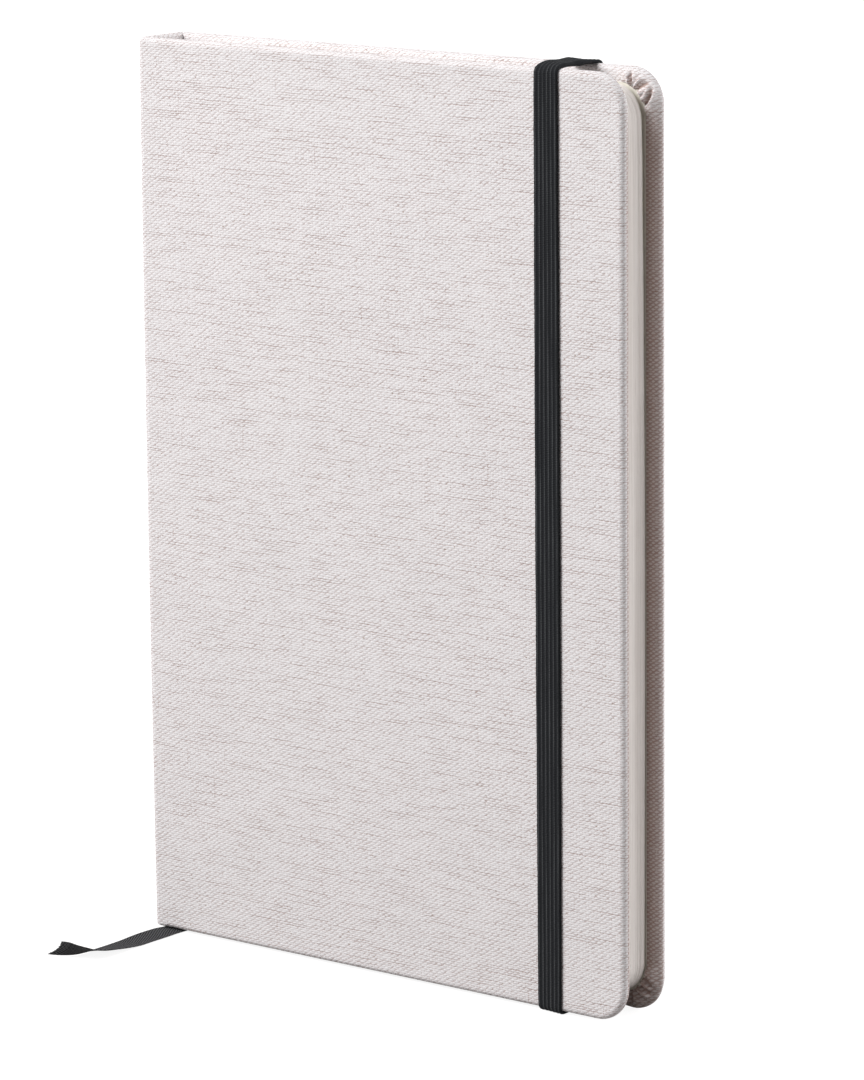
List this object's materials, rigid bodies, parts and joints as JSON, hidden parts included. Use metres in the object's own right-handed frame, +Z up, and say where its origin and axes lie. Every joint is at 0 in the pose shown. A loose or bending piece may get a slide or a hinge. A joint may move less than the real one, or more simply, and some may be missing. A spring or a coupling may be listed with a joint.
{
  "type": "hardback notebook",
  "caption": "Cloth-covered hardback notebook with rounded fore-edge corners, ribbed elastic closure and a ribbon marker; both covers open on the spine.",
  "frame": {"origin": "under the middle of the closed notebook, on the surface it stands on (the underside of the elastic)", "axes": "+Z up the height from tail to head, +X from the spine to the fore edge, front cover faces -Y"},
  "size_m": [0.1425, 0.0498, 0.2114],
  "materials": {
    "board": "matte",
    "cover_cloth": "matte plain-weave canvas, natural off-white",
    "endpaper": "matte",
    "pages": "matte cream",
    "lining": "open gauze, matte",
    "elastic": "matte ribbed elastic",
    "ribbon": "soft twill ribbon with a low sheen"
  },
  "bodies": {
    "book_block": {"page_block": "pages", "front_flyleaf": "endpaper", "back_flyleaf": "endpaper", "spine_board": "board", "spine_cloth": "cover_cloth", "spine_lining": "lining", "ribbon_marker": "ribbon"},
    "front_cover": {"front_board": "board", "front_cloth": "cover_cloth", "front_pastedown": "endpaper"},
    "back_cover": {"back_board": "board", "back_cloth": "cover_cloth", "back_pastedown": "endpaper", "elastic_band": "elastic"}
  },
  "joints": [
    {"name": "front_cover_hinge", "type": "hinge", "parent": "book_block", "child": "front_cover", "pos_m": [-0.066, -0.0079, 0.1057], "axis": [0, 0, -1], "range_deg": [0, 180], "stiffness_Nm_per_rad": 0.03, "springref_deg": -57.3, "deforming": ["elastic_band", "ribbon_marker"]},
    {"name": "back_cover_hinge", "type": "hinge", "parent": "book_block", "child": "back_cover", "pos_m": [-0.066, 0.0079, 0.1057], "axis": [0, 0, 1], "range_deg": [0, 180], "stiffness_Nm_per_rad": 0.03, "springref_deg": -57.3}
  ]
}
